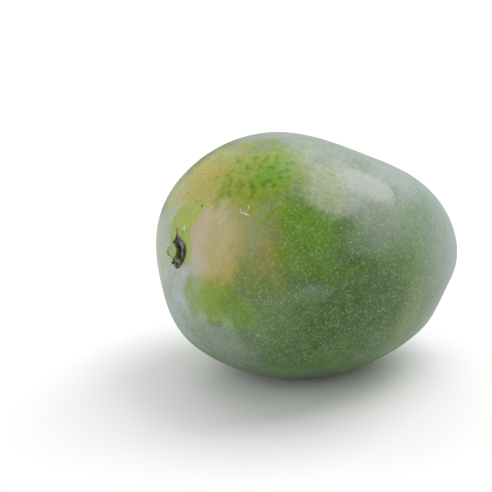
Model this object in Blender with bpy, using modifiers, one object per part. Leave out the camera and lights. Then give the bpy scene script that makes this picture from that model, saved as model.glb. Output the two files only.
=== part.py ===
"""A green mango, as picked, lying on its cheek with the cut stub of its stem still in place.

Run it with: blender --background --python part.py

The fruit is drawn in its own frame first: x runs from the stem end to the tip, y from the back (dorsal side)
to the front (ventral side), and z across the cheeks. It is then laid down on a small flat spot, so that in the
finished model +X runs from stem to tip, +Z is up and the origin is below the middle of the fruit, on the table.
"""

import math
from collections import namedtuple

import bmesh
import bpy
from mathutils import Matrix, Vector

# The fruit's size, in metres.
HALF_LENGTH = 0.0592
HALF_WIDTH = 0.0496  # back to front
HALF_THICKNESS = 0.0487  # cheek to cheek

# How the plain egg differs from an ellipsoid.
FULLNESS = 0.936  # below 1 the two ends are blunter than an ellipsoid's
TAPER = -0.157  # share of its half width that the fruit loses from middle to tip
LEAN = 0.0061  # sideways shift of the tip towards the front, and of the stem end towards the back
CURL = 0.0037  # how far both ends curve towards the front

# Where the stem grows, a little off the fruit's own axis. The angles are those of the swells below, in degrees.
STEM_LAT = 2
STEM_LON = 127

# Soft swells and hollows. lat is the angle from the stem end, lon goes round from the front (0) through the
# underside (90), the back (180) and the upper cheek (270). spread is in radians and height in metres.
Swell = namedtuple("Swell", "name lat lon spread height")
SWELLS = (
    Swell("back_shoulder", 35, 192, 0.36, 0.0020),
    Swell("lower_shoulder", 37, 96, 0.30, 0.0017),
    Swell("belly", 102, 69, 0.21, 0.0010),
    Swell("upper_cheek_hollow", 106, 269, 0.41, -0.0024),
    Swell("nose", 139, 277, 0.57, 0.0037),
    Swell("sinus", 149, 19, 0.24, -0.0023),
    Swell("beak", 174, 0, 0.14, 0.0011),
    Swell("stem_hollow", STEM_LAT, STEM_LON, 0.16, -0.0016),
)

# How it lies.
NOSE_DOWN = 13.2  # degrees that the tip dips below the stem end
ROLL = 3.0  # degrees that the front is turned up
FLAT_DEPTH = 0.0005  # the skin pressed flat where the fruit rests

# The stem stub and the ring of dried sap around it.
STEM_REACH = 12  # degrees round the stem over which the skin's slope is taken
STUB_LEAN = 10  # degrees that the stub leans towards the upper cheek
STUB_RADIUS = 0.0033
STUB_STANDS = 0.0032  # above the floor of the hollow
STUB_SUNK = 0.0025
STUB_EDGE = 0.0004  # rounding of the cut end
POCKET_TOP = 0.0100  # the pocket's cutter ends well outside the skin
RING_CLEARANCE = 0.0006  # between the stub and the ring, enough for the lean
RING_WIDTH = 0.0015
RING_BASE = 0.0006  # the ring's underside, above the floor of the hollow
RING_HEIGHT = 0.0011
RING_INNER_SHARE = 0.7  # height of the ring's inner edge, as a share of its crest
RING_OUTER_SHARE = 0.6
GAP = 0.0003  # between pieces that touch

# How finely round shapes are divided.
SEGMENTS = 56
RINGS = 38
ROUND_SIDES = 32
EDGE_STEPS = 2


def clear_scene():
    """Removes the objects that the startup file brings."""
    for obj in list(bpy.data.objects):
        bpy.data.objects.remove(obj)


def new_collection(name):
    """A collection in the scene, by name."""
    collection = bpy.data.collections.new(name)
    bpy.context.scene.collection.children.link(collection)
    return collection


def new_material(name, colour, roughness):
    """A Principled material with a plain colour."""
    material = bpy.data.materials.new(name)
    material.use_nodes = True
    shader = material.node_tree.nodes["Principled BSDF"]
    shader.inputs["Base Color"].default_value = (*colour, 1.0)
    shader.inputs["Roughness"].default_value = roughness
    shader.inputs["Metallic"].default_value = 0.0
    return material


def new_object(name, bm, collection, material):
    """Turns a bmesh into an object with its own mesh and material."""
    mesh = bpy.data.meshes.new(name)
    bm.to_mesh(mesh)
    bm.free()
    mesh.materials.append(material)
    obj = bpy.data.objects.new(name, mesh)
    collection.objects.link(obj)
    return obj


def new_empty(name, collection):
    """An empty to place other objects by."""
    empty = bpy.data.objects.new(name, None)
    empty.empty_display_size = 0.02
    collection.objects.link(empty)
    return empty


def bounds_of(objects):
    """Lowest and highest corner of finished objects, in the world."""
    bpy.context.view_layer.update()
    graph = bpy.context.evaluated_depsgraph_get()
    points = []
    for obj in objects:
        finished = obj.evaluated_get(graph)
        points += [finished.matrix_world @ vert.co for vert in finished.data.vertices]
    low = Vector([min(point[axis] for point in points) for axis in range(3)])
    high = Vector([max(point[axis] for point in points) for axis in range(3)])
    return low, high


def direction(lat, lon):
    """The unit vector at an angle lat from the stem end and lon round from the front, both in radians."""
    return Vector(
        (-math.cos(lat), math.sin(lat) * math.cos(lon), math.sin(lat) * math.sin(lon))
    )


def fruit_point(towards):
    """The point of the skin that a unit vector from the fruit's middle stands for, in the fruit's own frame."""
    along = towards.x
    across = math.hypot(towards.y, towards.z)
    if across > 0:
        round_y, round_z = towards.y / across, towards.z / across
    else:
        round_y, round_z = 0.0, 0.0
    radius = across**FULLNESS * (1 + TAPER * along)
    point = Vector(
        (
            HALF_LENGTH * along,
            HALF_WIDTH * radius * round_y + LEAN * along + CURL * along**2,
            HALF_THICKNESS * radius * round_z,
        )
    )
    for swell in SWELLS:
        centre = direction(math.radians(swell.lat), math.radians(swell.lon))
        angle = towards.angle(centre)
        point += towards * (swell.height * math.exp(-((angle / swell.spread) ** 2)))
    return point


def stem_frame():
    """The matrix of the stem end in the fruit's frame: its origin on the skin, its Z axis square to the skin
    round the hollow, and its Y axis towards the upper cheek."""
    origin = fruit_point(direction(math.radians(STEM_LAT), math.radians(STEM_LON)))
    reach = math.radians(STEM_REACH)
    around = [fruit_point(direction(reach, math.radians(lon))) for lon in (0, 90, 180, 270)]
    to_upper_cheek = around[3] - around[1]
    outward = (around[0] - around[2]).cross(to_upper_cheek).normalized()
    sideways = to_upper_cheek.cross(outward).normalized()
    turn = Matrix((sideways, outward.cross(sideways), outward)).transposed()
    return Matrix.Translation(origin) @ turn.to_4x4()


def make_fruit(collection, material, lay):
    """The whole fruit as one solid, with its flat spot cut level for the way it lies."""
    bm = bmesh.new()
    bmesh.ops.create_uvsphere(bm, u_segments=SEGMENTS, v_segments=RINGS, radius=1.0)
    pole_to_stem = Matrix.Rotation(math.radians(90), 3, "Y")
    for vert in bm.verts:
        vert.co = fruit_point((pole_to_stem @ vert.co).normalized())
    lowest = min((lay @ vert.co).z for vert in bm.verts)
    up = lay.inverted()
    cut = bmesh.ops.bisect_plane(
        bm,
        geom=bm.verts[:] + bm.edges[:] + bm.faces[:],
        plane_co=up @ Vector((0, 0, lowest + FLAT_DEPTH)),
        plane_no=up @ Vector((0, 0, -1)),
        clear_outer=True,
    )
    rim = [item for item in cut["geom_cut"] if isinstance(item, bmesh.types.BMEdge)]
    bmesh.ops.contextual_create(bm, geom=rim)
    bmesh.ops.recalc_face_normals(bm, faces=bm.faces[:])
    fruit = new_object("fruit", bm, collection, material)
    fruit.data.shade_smooth()
    return fruit


def round_bar(radius, bottom, top):
    """A bmesh cylinder on the Z axis between two heights."""
    bm = bmesh.new()
    bmesh.ops.create_cone(
        bm,
        cap_ends=True,
        segments=ROUND_SIDES,
        radius1=radius,
        radius2=radius,
        depth=top - bottom,
        matrix=Matrix.Translation((0, 0, (top + bottom) / 2)),
    )
    return bm


def add_pocket(fruit, cutters, stem_empty, leaning):
    """Cuts the socket that the stub sits in out of the fruit."""
    cutter = new_object(
        "stub_pocket_cutter",
        round_bar(STUB_RADIUS + GAP, -STUB_SUNK - GAP, POCKET_TOP),
        cutters,
        fruit.data.materials[0],
    )
    cutter.parent = stem_empty
    cutter.matrix_local = leaning
    cutter.hide_render = True
    cutter.display_type = "WIRE"
    cut = fruit.modifiers.new("stub_pocket", "BOOLEAN")
    cut.operation = "DIFFERENCE"
    cut.object = cutter


def make_stub(collection, material, stem_empty, leaning):
    """The cut stub of the stem: a short round peg with its cut end slightly rounded."""
    stub = new_object(
        "stem_stub",
        round_bar(STUB_RADIUS, -STUB_SUNK, STUB_STANDS),
        collection,
        material,
    )
    stub.parent = stem_empty
    stub.matrix_local = leaning
    bevel = stub.modifiers.new("cut_end", "BEVEL")
    bevel.width = STUB_EDGE
    bevel.segments = EDGE_STEPS
    bevel.limit_method = "ANGLE"
    stub.data.shade_smooth()
    return stub


def make_ring(collection, material, stem_empty):
    """The crust of dried sap round the stub: a low turned ring that lies in the hollow."""
    inner = STUB_RADIUS + RING_CLEARANCE
    outer = inner + RING_WIDTH
    middle = (inner + outer) / 2
    profile = (
        (outer, RING_BASE),
        (inner, RING_BASE),
        (inner, RING_BASE + RING_HEIGHT * RING_INNER_SHARE),
        (middle, RING_BASE + RING_HEIGHT),
        (outer, RING_BASE + RING_HEIGHT * RING_OUTER_SHARE),
    )
    bm = bmesh.new()
    verts = [bm.verts.new((radius, 0, height)) for radius, height in profile]
    edges = [
        bm.edges.new((verts[k], verts[(k + 1) % len(verts)]))
        for k in range(len(verts))
    ]
    bmesh.ops.spin(
        bm,
        geom=edges,
        axis=(0, 0, 1),
        cent=(0, 0, 0),
        angle=math.radians(360),
        steps=ROUND_SIDES,
        use_merge=True,
    )
    bmesh.ops.remove_doubles(bm, verts=bm.verts[:], dist=0.000001)
    bmesh.ops.recalc_face_normals(bm, faces=bm.faces[:])
    ring = new_object("sap_ring", bm, collection, material)
    ring.parent = stem_empty
    return ring


def lying_matrix():
    """The turn that lays the fruit down: rolled about its length, then with its tip dipped."""
    dip = Matrix.Rotation(math.radians(NOSE_DOWN), 3, "Y")
    roll = Matrix.Rotation(math.radians(180 - ROLL), 3, "X")
    return dip @ roll


def main():
    clear_scene()
    parts = new_collection("mango")
    cutters = new_collection("cutters")
    skin = new_material("green_skin", (0.19, 0.26, 0.10), 0.45)
    stem = new_material("cut_stem", (0.42, 0.47, 0.20), 0.70)
    sap = new_material("dried_sap", (0.09, 0.05, 0.05), 0.80)

    lay = lying_matrix()
    fruit_empty = new_empty("fruit_axes", parts)
    fruit_empty.matrix_world = lay.to_4x4()
    fruit = make_fruit(parts, skin, lay)
    fruit.parent = fruit_empty

    stem_empty = new_empty("stem_axes", parts)
    stem_empty.parent = fruit_empty
    stem_empty.matrix_local = stem_frame()
    leaning = Matrix.Rotation(math.radians(-STUB_LEAN), 4, "X")
    add_pocket(fruit, cutters, stem_empty, leaning)
    stub = make_stub(parts, stem, stem_empty, leaning)
    make_ring(parts, sap, stem_empty)

    low, high = bounds_of((fruit, stub))
    fruit_empty.location = (-(low.x + high.x) / 2, -(low.y + high.y) / 2, -low.z)


main()
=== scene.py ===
# %% [markdown]
# # A green mango on a white table
#
# The fruit was picked green and lies on its cheek. Its stem was cut to a short stub, and dried sap
# has left a dark crust round it. Most of what the eye reads as a mango is in the skin: a green peel
# that turns yellow and gold on its sunny side, a thin pale wax on top of it that handling has
# smeared, polished or rubbed away in places, and thousands of tiny pale pores. The brightest
# polished spot is also a painted highlight. Each of these is made in a step of its own below.
#
# The imported model comes first. It gives every place and size that is used here, in metres.

# %% Load the imported model
import math
from collections import namedtuple

import bmesh
import bpy
import numpy as np
from mathutils import Euler, Matrix, Vector, noise
from mathutils.bvhtree import BVHTree


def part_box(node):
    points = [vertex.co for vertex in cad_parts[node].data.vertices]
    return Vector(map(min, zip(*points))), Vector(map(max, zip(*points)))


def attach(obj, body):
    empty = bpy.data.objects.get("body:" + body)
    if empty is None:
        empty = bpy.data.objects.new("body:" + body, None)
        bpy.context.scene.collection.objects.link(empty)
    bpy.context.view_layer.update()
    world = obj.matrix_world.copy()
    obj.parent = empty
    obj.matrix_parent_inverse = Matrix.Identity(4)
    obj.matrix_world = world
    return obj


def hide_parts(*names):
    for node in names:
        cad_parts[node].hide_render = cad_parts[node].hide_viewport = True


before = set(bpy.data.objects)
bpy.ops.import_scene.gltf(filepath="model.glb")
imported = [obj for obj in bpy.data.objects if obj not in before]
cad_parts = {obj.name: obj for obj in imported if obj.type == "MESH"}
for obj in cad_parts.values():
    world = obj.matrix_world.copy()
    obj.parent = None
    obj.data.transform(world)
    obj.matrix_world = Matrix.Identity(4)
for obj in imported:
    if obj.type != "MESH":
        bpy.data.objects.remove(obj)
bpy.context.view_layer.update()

# %% [markdown]
# ## Helpers
#
# Blender's node trees can be built in a script. One function adds a node, sets its options and
# fills its sockets, so that a tree reads from top to bottom like a recipe. A socket is filled with
# a number, or with the node or the socket that feeds it. The nodes that Blender made itself, such
# as a material's shader, are only filled.

# %% Fill a node's sockets, and add a node to a tree
MM = 0.001


def fill(tree, node, sockets):
    """Fills inputs. sockets maps an input's name or number to a value, a node or an output."""
    for key, value in dict(sockets).items():
        if isinstance(value, bpy.types.Node):
            value = next(output for output in value.outputs if output.enabled)
        if isinstance(value, bpy.types.NodeSocket):
            tree.links.new(value, node.inputs[key])
        else:
            node.inputs[key].default_value = value
    return node


def add_node(tree, kind, sockets=(), **options):
    node = tree.nodes.new(kind)
    for option, value in options.items():
        setattr(node, option, value)
    return fill(tree, node, sockets)


# %% Start a tree, and grow a mesh from it
def new_tree(name, kind, inputs, outputs):
    """A node group whose sockets hold what inputs and outputs say, and its input node's outputs."""
    tree = bpy.data.node_groups.new(name, kind)
    for in_out, sockets in (("INPUT", inputs), ("OUTPUT", outputs)):
        for label, holds in sockets.items():
            tree.interface.new_socket(label, in_out=in_out, socket_type="NodeSocket" + holds)
    return tree, add_node(tree, "NodeGroupInput").outputs


def new_geometry_tree(name, sizes):
    """A geometry tree with a named input for each size."""
    kinds = {int: "Int", float: "Float", tuple: "Vector", bpy.types.Object: "Object"}
    inputs = {label: kinds[type(value)] for label, value in sizes.items()}
    return new_tree(name, "GeometryNodeTree", inputs, {"Geometry": "Geometry"})


def finish_tree(tree, geometry, material):
    """Ends a geometry tree: its instances become real faces, and they get their material."""
    real = add_node(tree, "GeometryNodeRealizeInstances", {"Geometry": geometry})
    dressed = add_node(tree, "GeometryNodeSetMaterial", {"Geometry": real, "Material": material})
    add_node(tree, "NodeGroupOutput", {"Geometry": dressed})


def grow(name, tree, sizes):
    """Runs a geometry tree with these sizes, and returns a plain mesh object with no modifier."""
    piece = bpy.data.objects.new(name, bpy.data.meshes.new(name))
    bpy.context.scene.collection.objects.link(piece)
    modifier = piece.modifiers.new("grow", "NODES")
    modifier.node_group = tree
    for socket in tree.interface.items_tree:
        if socket.in_out == "INPUT":
            modifier[socket.identifier] = sizes[socket.name]
    grown = piece.evaluated_get(bpy.context.evaluated_depsgraph_get())
    piece.data = bpy.data.meshes.new_from_object(grown)
    piece.data.name = name
    piece.modifiers.clear()
    print(f"{name}: {len(piece.data.vertices)} points, {len(piece.data.polygons)} faces")
    return piece


# %% [markdown]
# ## The shape of the fruit
#
# A mango isn't a ball pulled long. It is fuller at the stem end, its tip is bent towards its front,
# and it has soft shoulders, a nose and a small beak. All of that follows a rule, so Geometry Nodes
# can make it: take a sphere, read each point as a direction from the fruit's middle, and work out
# how far out the skin lies in that direction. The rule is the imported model's own, and only the mesh
# is finer.
#
# A direction is given by two angles. `lat` is the angle from the stem end, and `lon` goes round
# from the fruit's front (0) through its underside (90) and its back (180) to the cheek that is on
# top (270).

# %% The rule's sizes
SKIN_SIZES = {
    "Segments": 440,
    "Rings": 215,
    "Ring Crowding": 1.3,  # above 1 the rings are closer together at the stem end
    "Half Length": 59.2 * MM,
    "Half Width": 49.6 * MM,
    "Half Thickness": 48.7 * MM,
    "Fullness": 0.936,
    "Taper": -0.157,
    "Lean": 6.1 * MM,
    "Curl": 3.7 * MM,
    "Wave Depth": 0.15 * MM,
    "Crease Depth": 0.16 * MM,
    "Lying": (math.radians(180 - 3.0), math.radians(13.2), 0.0),
    "Flat Depth": 0.5 * MM,
    "Flat Edge": 0.3 * MM,
}
WAVE_SIZE = 1 / 2.2  # of the skin's slow waves, where 1 is the distance from the middle to the skin
STEM_LAT = 2
STEM_LON = 127
Swell = namedtuple("Swell", "name lat lon spread height")
SWELLS = (
    Swell("back_shoulder", 35, 192, 0.36, 2.0 * MM),
    Swell("lower_shoulder", 37, 96, 0.30, 1.7 * MM),
    Swell("belly", 102, 69, 0.21, 1.0 * MM),
    Swell("upper_cheek_hollow", 106, 269, 0.41, -2.4 * MM),
    Swell("nose", 139, 277, 0.57, 3.7 * MM),
    Swell("sinus", 149, 19, 0.24, -2.3 * MM),
    Swell("beak", 174, 0, 0.14, 1.1 * MM),
    Swell("stem_hollow", STEM_LAT, STEM_LON, 0.16, -1.6 * MM),
)


def direction(lat, lon):
    """The unit vector at these angles, in degrees, in the fruit's own frame."""
    lat, lon = math.radians(lat), math.radians(lon)
    return Vector((-math.cos(lat), math.sin(lat) * math.cos(lon), math.sin(lat) * math.sin(lon)))


# %% Waves of noise, and a bell, that the shape and the peel are both made with
def waves(tree, place, size, detail, height, rough=0.5):
    """Noise from about -height to height, with its largest waves as wide as size."""
    sea = add_node(
        tree,
        "ShaderNodeTexNoise",
        {"Vector": place, "Scale": 1 / size, "Detail": detail, "Roughness": rough},
    )
    signed = {0: sea, 1: 4 * height, 2: -2 * height}  # most of the noise is between 0.25 and 0.75
    return add_node(tree, "ShaderNodeMath", signed, operation="MULTIPLY_ADD")


def bell(tree, distance, spread):
    """Falls from 1 at no distance towards 0, in the bell's curve, which is as wide as spread."""
    share = add_node(tree, "ShaderNodeMath", {0: distance, 1: spread}, operation="DIVIDE")
    squared = add_node(tree, "ShaderNodeMath", {0: share, 1: share}, operation="MULTIPLY")
    minus = add_node(tree, "ShaderNodeMath", {0: squared, 1: -1.0}, operation="MULTIPLY")
    return add_node(tree, "ShaderNodeMath", {0: minus}, operation="EXPONENT")


# %% A tree for one swell: a soft bump that fades with the angle from its centre
def swell_tree():
    """A group whose output is the height that one swell adds in the direction Towards."""
    inputs = {"Towards": "Vector", "Centre": "Vector", "Spread": "Float", "Height": "Float"}
    tree, given = new_tree("swell", "GeometryNodeTree", inputs, {"Height": "Float"})
    near = add_node(
        tree,
        "ShaderNodeVectorMath",
        {0: given["Towards"], 1: given["Centre"]},
        operation="DOT_PRODUCT",
    ).outputs["Value"]
    safe = add_node(tree, "ShaderNodeClamp", {"Value": near, "Min": -1.0, "Max": 1.0})
    angle = add_node(tree, "ShaderNodeMath", {0: safe}, operation="ARCCOSINE")
    fade = bell(tree, angle, given["Spread"])
    height = add_node(tree, "ShaderNodeMath", {0: fade, 1: given["Height"]}, operation="MULTIPLY")
    add_node(tree, "NodeGroupOutput", {"Height": height})
    return tree


# %% The creases: the skin is puckered in fine rays round the stem
CREASE_SIZE = 1 / 6  # how wide a ray is, where 1 is the distance from the stem's axis
CREASE_RING = 0.17  # how far from the stem the creases are deepest, in radians
CREASE_SPREAD = 0.08


def creases(tree, towards):
    """A field from -1 to 1 that varies round the stem, but not away from it, and fades there."""
    stem = direction(STEM_LAT, STEM_LON)
    near = add_node(
        tree, "ShaderNodeVectorMath", {0: towards, 1: stem}, operation="DOT_PRODUCT"
    ).outputs["Value"]
    along_stem = add_node(tree, "ShaderNodeVectorMath", {0: stem, "Scale": near}, operation="SCALE")
    sideways = add_node(
        tree, "ShaderNodeVectorMath", {0: towards, 1: along_stem}, operation="SUBTRACT"
    )
    ray = add_node(tree, "ShaderNodeVectorMath", {0: sideways}, operation="NORMALIZE")
    rays = waves(tree, ray, CREASE_SIZE, 2.0, 1.0)
    reach = add_node(tree, "ShaderNodeVectorMath", {0: sideways}, operation="LENGTH")
    off_ring = add_node(
        tree, "ShaderNodeMath", {0: reach.outputs["Value"], 1: -CREASE_RING}, operation="ADD"
    )
    fade = bell(tree, off_ring, CREASE_SPREAD)
    return add_node(tree, "ShaderNodeMath", {0: rays, 1: fade}, operation="MULTIPLY")


# %% The skin's tree: first the way from the fruit's middle to each point of the sphere
def ways_out(tree, corner, crowding):
    """Returns each point's direction, and its parts along the fruit, across it and round it."""
    down = add_node(tree, "ShaderNodeMath", {0: corner["Z"], 1: -1.0}, operation="MULTIPLY")
    from_pole = add_node(tree, "ShaderNodeMath", {0: down}, operation="ARCCOSINE")
    share = add_node(tree, "ShaderNodeMath", {0: from_pole, 1: math.pi}, operation="DIVIDE")
    crowded = add_node(tree, "ShaderNodeMath", {0: share, 1: crowding}, operation="POWER")
    lat = add_node(tree, "ShaderNodeMath", {0: crowded, 1: math.pi}, operation="MULTIPLY")
    left = add_node(tree, "ShaderNodeMath", {0: corner["X"], 1: -1.0}, operation="MULTIPLY")
    lon = add_node(tree, "ShaderNodeMath", {0: left, 1: corner["Y"]}, operation="ARCTAN2")

    stemward = add_node(tree, "ShaderNodeMath", {0: lat}, operation="COSINE")
    along = add_node(tree, "ShaderNodeMath", {0: stemward, 1: -1.0}, operation="MULTIPLY")
    sine = add_node(tree, "ShaderNodeMath", {0: lat}, operation="SINE")
    across = add_node(tree, "ShaderNodeMath", {0: sine, 1: 0.0}, operation="MAXIMUM")
    round_y = add_node(tree, "ShaderNodeMath", {0: lon}, operation="COSINE")
    round_z = add_node(tree, "ShaderNodeMath", {0: lon}, operation="SINE")
    y = add_node(tree, "ShaderNodeMath", {0: across, 1: round_y}, operation="MULTIPLY")
    z = add_node(tree, "ShaderNodeMath", {0: across, 1: round_z}, operation="MULTIPLY")
    towards = add_node(tree, "ShaderNodeCombineXYZ", {"X": along, "Y": y, "Z": z})
    return towards, along, across, round_y, round_z


# %% Then an egg with its taper, lean and curl
def egg_shape(tree, given, along, across, round_y, round_z):
    full = add_node(tree, "ShaderNodeMath", {0: across, 1: given["Fullness"]}, operation="POWER")
    slimmer = add_node(
        tree, "ShaderNodeMath", {0: given["Taper"], 1: along, 2: 1.0}, operation="MULTIPLY_ADD"
    )
    radius = add_node(tree, "ShaderNodeMath", {0: full, 1: slimmer}, operation="MULTIPLY")
    wide = add_node(
        tree, "ShaderNodeMath", {0: radius, 1: given["Half Width"]}, operation="MULTIPLY"
    )
    thick = add_node(
        tree, "ShaderNodeMath", {0: radius, 1: given["Half Thickness"]}, operation="MULTIPLY"
    )
    lean = add_node(tree, "ShaderNodeMath", {0: along, 1: given["Lean"]}, operation="MULTIPLY")
    squared = add_node(tree, "ShaderNodeMath", {0: along, 1: along}, operation="MULTIPLY")
    bent = add_node(
        tree, "ShaderNodeMath", {0: squared, 1: given["Curl"], 2: lean}, operation="MULTIPLY_ADD"
    )
    x = add_node(tree, "ShaderNodeMath", {0: along, 1: given["Half Length"]}, operation="MULTIPLY")
    y = add_node(tree, "ShaderNodeMath", {0: wide, 1: round_y, 2: bent}, operation="MULTIPLY_ADD")
    z = add_node(tree, "ShaderNodeMath", {0: thick, 1: round_z}, operation="MULTIPLY")
    return add_node(tree, "ShaderNodeCombineXYZ", {"X": x, "Y": y, "Z": z})


# %% Last the swells, the waves and the creases, and the flat spot that the fruit rests on
def skin_tree(material):
    """Bends a sphere into the fruit, lays it down and presses its underside flat."""
    tree, given = new_geometry_tree("mango skin", SKIN_SIZES)
    sphere = add_node(
        tree,
        "GeometryNodeMeshUVSphere",
        {"Segments": given["Segments"], "Rings": given["Rings"], "Radius": 1.0},
    )
    here = add_node(tree, "GeometryNodeInputPosition")  # each Set Position below reads it anew
    corner = add_node(tree, "ShaderNodeSeparateXYZ", {0: here}).outputs
    towards, *parts = ways_out(tree, corner, given["Ring Crowding"])
    egg = egg_shape(tree, given, *parts)

    one_swell = swell_tree()
    height = 0.0
    for swell in SWELLS:
        sockets = {
            "Towards": towards,
            "Centre": direction(swell.lat, swell.lon),
            "Spread": swell.spread,
            "Height": swell.height,
        }
        bump = add_node(tree, "GeometryNodeGroup", sockets, node_tree=one_swell, label=swell.name)
        height = add_node(tree, "ShaderNodeMath", {0: height, 1: bump}, operation="ADD")
    slow_waves = waves(tree, towards, WAVE_SIZE, 1.0, 1.0)
    for field, depth in ((slow_waves, "Wave Depth"), (creases(tree, towards), "Crease Depth")):
        sockets = {0: field, 1: given[depth], 2: height}
        height = add_node(tree, "ShaderNodeMath", sockets, operation="MULTIPLY_ADD")
    swollen = add_node(
        tree, "ShaderNodeVectorMath", {0: towards, "Scale": height}, operation="SCALE"
    )
    place = add_node(tree, "ShaderNodeVectorMath", {0: egg, 1: swollen}, operation="ADD")
    shaped = add_node(tree, "GeometryNodeSetPosition", {"Geometry": sphere, "Position": place})

    laid = add_node(tree, "GeometryNodeTransform", {"Geometry": shaped, "Rotation": given["Lying"]})
    box = add_node(tree, "GeometryNodeBoundBox", {"Geometry": laid}).outputs
    lowest = add_node(tree, "ShaderNodeSeparateXYZ", {0: box["Min"]}).outputs["Z"]
    table_top = add_node(
        tree, "ShaderNodeMath", {0: lowest, 1: given["Flat Depth"]}, operation="ADD"
    )
    pressed = add_node(
        tree,
        "ShaderNodeMath",
        {0: corner["Z"], 1: table_top, 2: given["Flat Edge"]},
        operation="SMOOTH_MAX",
    )
    resting_place = add_node(
        tree, "ShaderNodeCombineXYZ", {"X": corner["X"], "Y": corner["Y"], "Z": pressed}
    )
    resting = add_node(
        tree, "GeometryNodeSetPosition", {"Geometry": laid, "Position": resting_place}
    )
    smooth = add_node(tree, "GeometryNodeSetShadeSmooth", {"Geometry": resting})
    finish_tree(tree, smooth, material)
    return tree


# %% Start a material
PLANT_IOR = 1.45  # wax, cork, wood and dried sap are all near this


def new_material(name, sockets=()):
    """Returns a material, its node tree and its shader. sockets fills the shader's inputs."""
    material = bpy.data.materials.new(name)
    material.use_nodes = True
    tree = material.node_tree
    return material, tree, fill(tree, tree.nodes["Principled BSDF"], sockets)


# %% Grow the skin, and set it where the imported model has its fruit
PEEL_SURFACE = {
    "IOR": PLANT_IOR,
    "Specular IOR Level": 0.35,  # a living skin reflects a little less than poured wax would
}
peel, peel_tree, peel_shader = new_material("waxy_mango_peel", PEEL_SURFACE)
skin = grow("mango_skin", skin_tree(peel), SKIN_SIZES)
fruit_low, fruit_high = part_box("fruit")
corners = np.array([vertex.co for vertex in skin.data.vertices])
low, high = Vector(corners.min(axis=0)), Vector(corners.max(axis=0))
middle = Vector(
    (
        (fruit_low.x + fruit_high.x - low.x - high.x) / 2,
        (fruit_low.y + fruit_high.y - low.y - high.y) / 2,
        fruit_low.z - low.z,
    )
)
skin.data.transform(Matrix.Translation(middle))
print("the fruit's middle, in mm:", [round(1000 * side, 1) for side in middle])
print("skin box in mm:", [round(1000 * side, 1) for side in (high - low)])
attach(skin, "root")
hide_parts("fruit")

# %% Find a place on the skin
lying = Euler(SKIN_SIZES["Lying"]).to_matrix()
skin_faces = BVHTree.FromPolygons(
    [vertex.co for vertex in skin.data.vertices], [face.vertices for face in skin.data.polygons]
)


def on_skin(lat, lon):
    """The point of the skin in this direction, and the way that it faces there."""
    point, out, _, _ = skin_faces.ray_cast(middle, lying @ direction(lat, lon))
    return point, out


# %% [markdown]
# ## The peel
#
# The peel of a green mango is a smooth living skin with a waxy bloom on it. Bare skin is a clear,
# saturated green. The bloom is a layer of wax crystals, much thinner than paper: it scatters white
# light, so that the same green looks grey and dull below it. It comes off wherever a hand or a leaf
# has rubbed it, and where it is only pressed it is smeared or polished to a pale, even spot. The
# polished spot on the upper cheek is laid thicker and paler than the wax alone, so it is partly a
# painted highlight. One side of the fruit saw more sun and is turning gold.
#
# This could be painted by hand on an unwrapped map, but then the wax and the green would be one
# colour. Here they are two layers, as on the fruit. Patches of colour make the skin and patches of
# wax make the bloom, and each patch is laid at a place on the fruit, with a size in millimetres.
# Noise frays their edges, makes the wax uneven and dabs it off in spots, and freckles and bruises
# the skin under it.

# %% Turn a hex colour into the linear values that the shaders use
def colour(code):
    linear = []
    for start in (1, 3, 5):
        part = int(code[start : start + 2], 16) / 255
        linear.append(part / 12.92 if part <= 0.04045 else ((part + 0.055) / 1.055) ** 2.4)
    return linear + [1.0]


# %% What a patch is
# Its middle is at lat and lon, and it is long and wide in millimetres. turn is the angle from the
# way to the tip to its long way, in degrees. soft is the share of its size over which it fades, and
# frayed is how far noise moves its edge. strength is how much of what is below it gets its paint.
Patch = namedtuple("Patch", "name lat lon long wide turn soft frayed strength paint")

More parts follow.
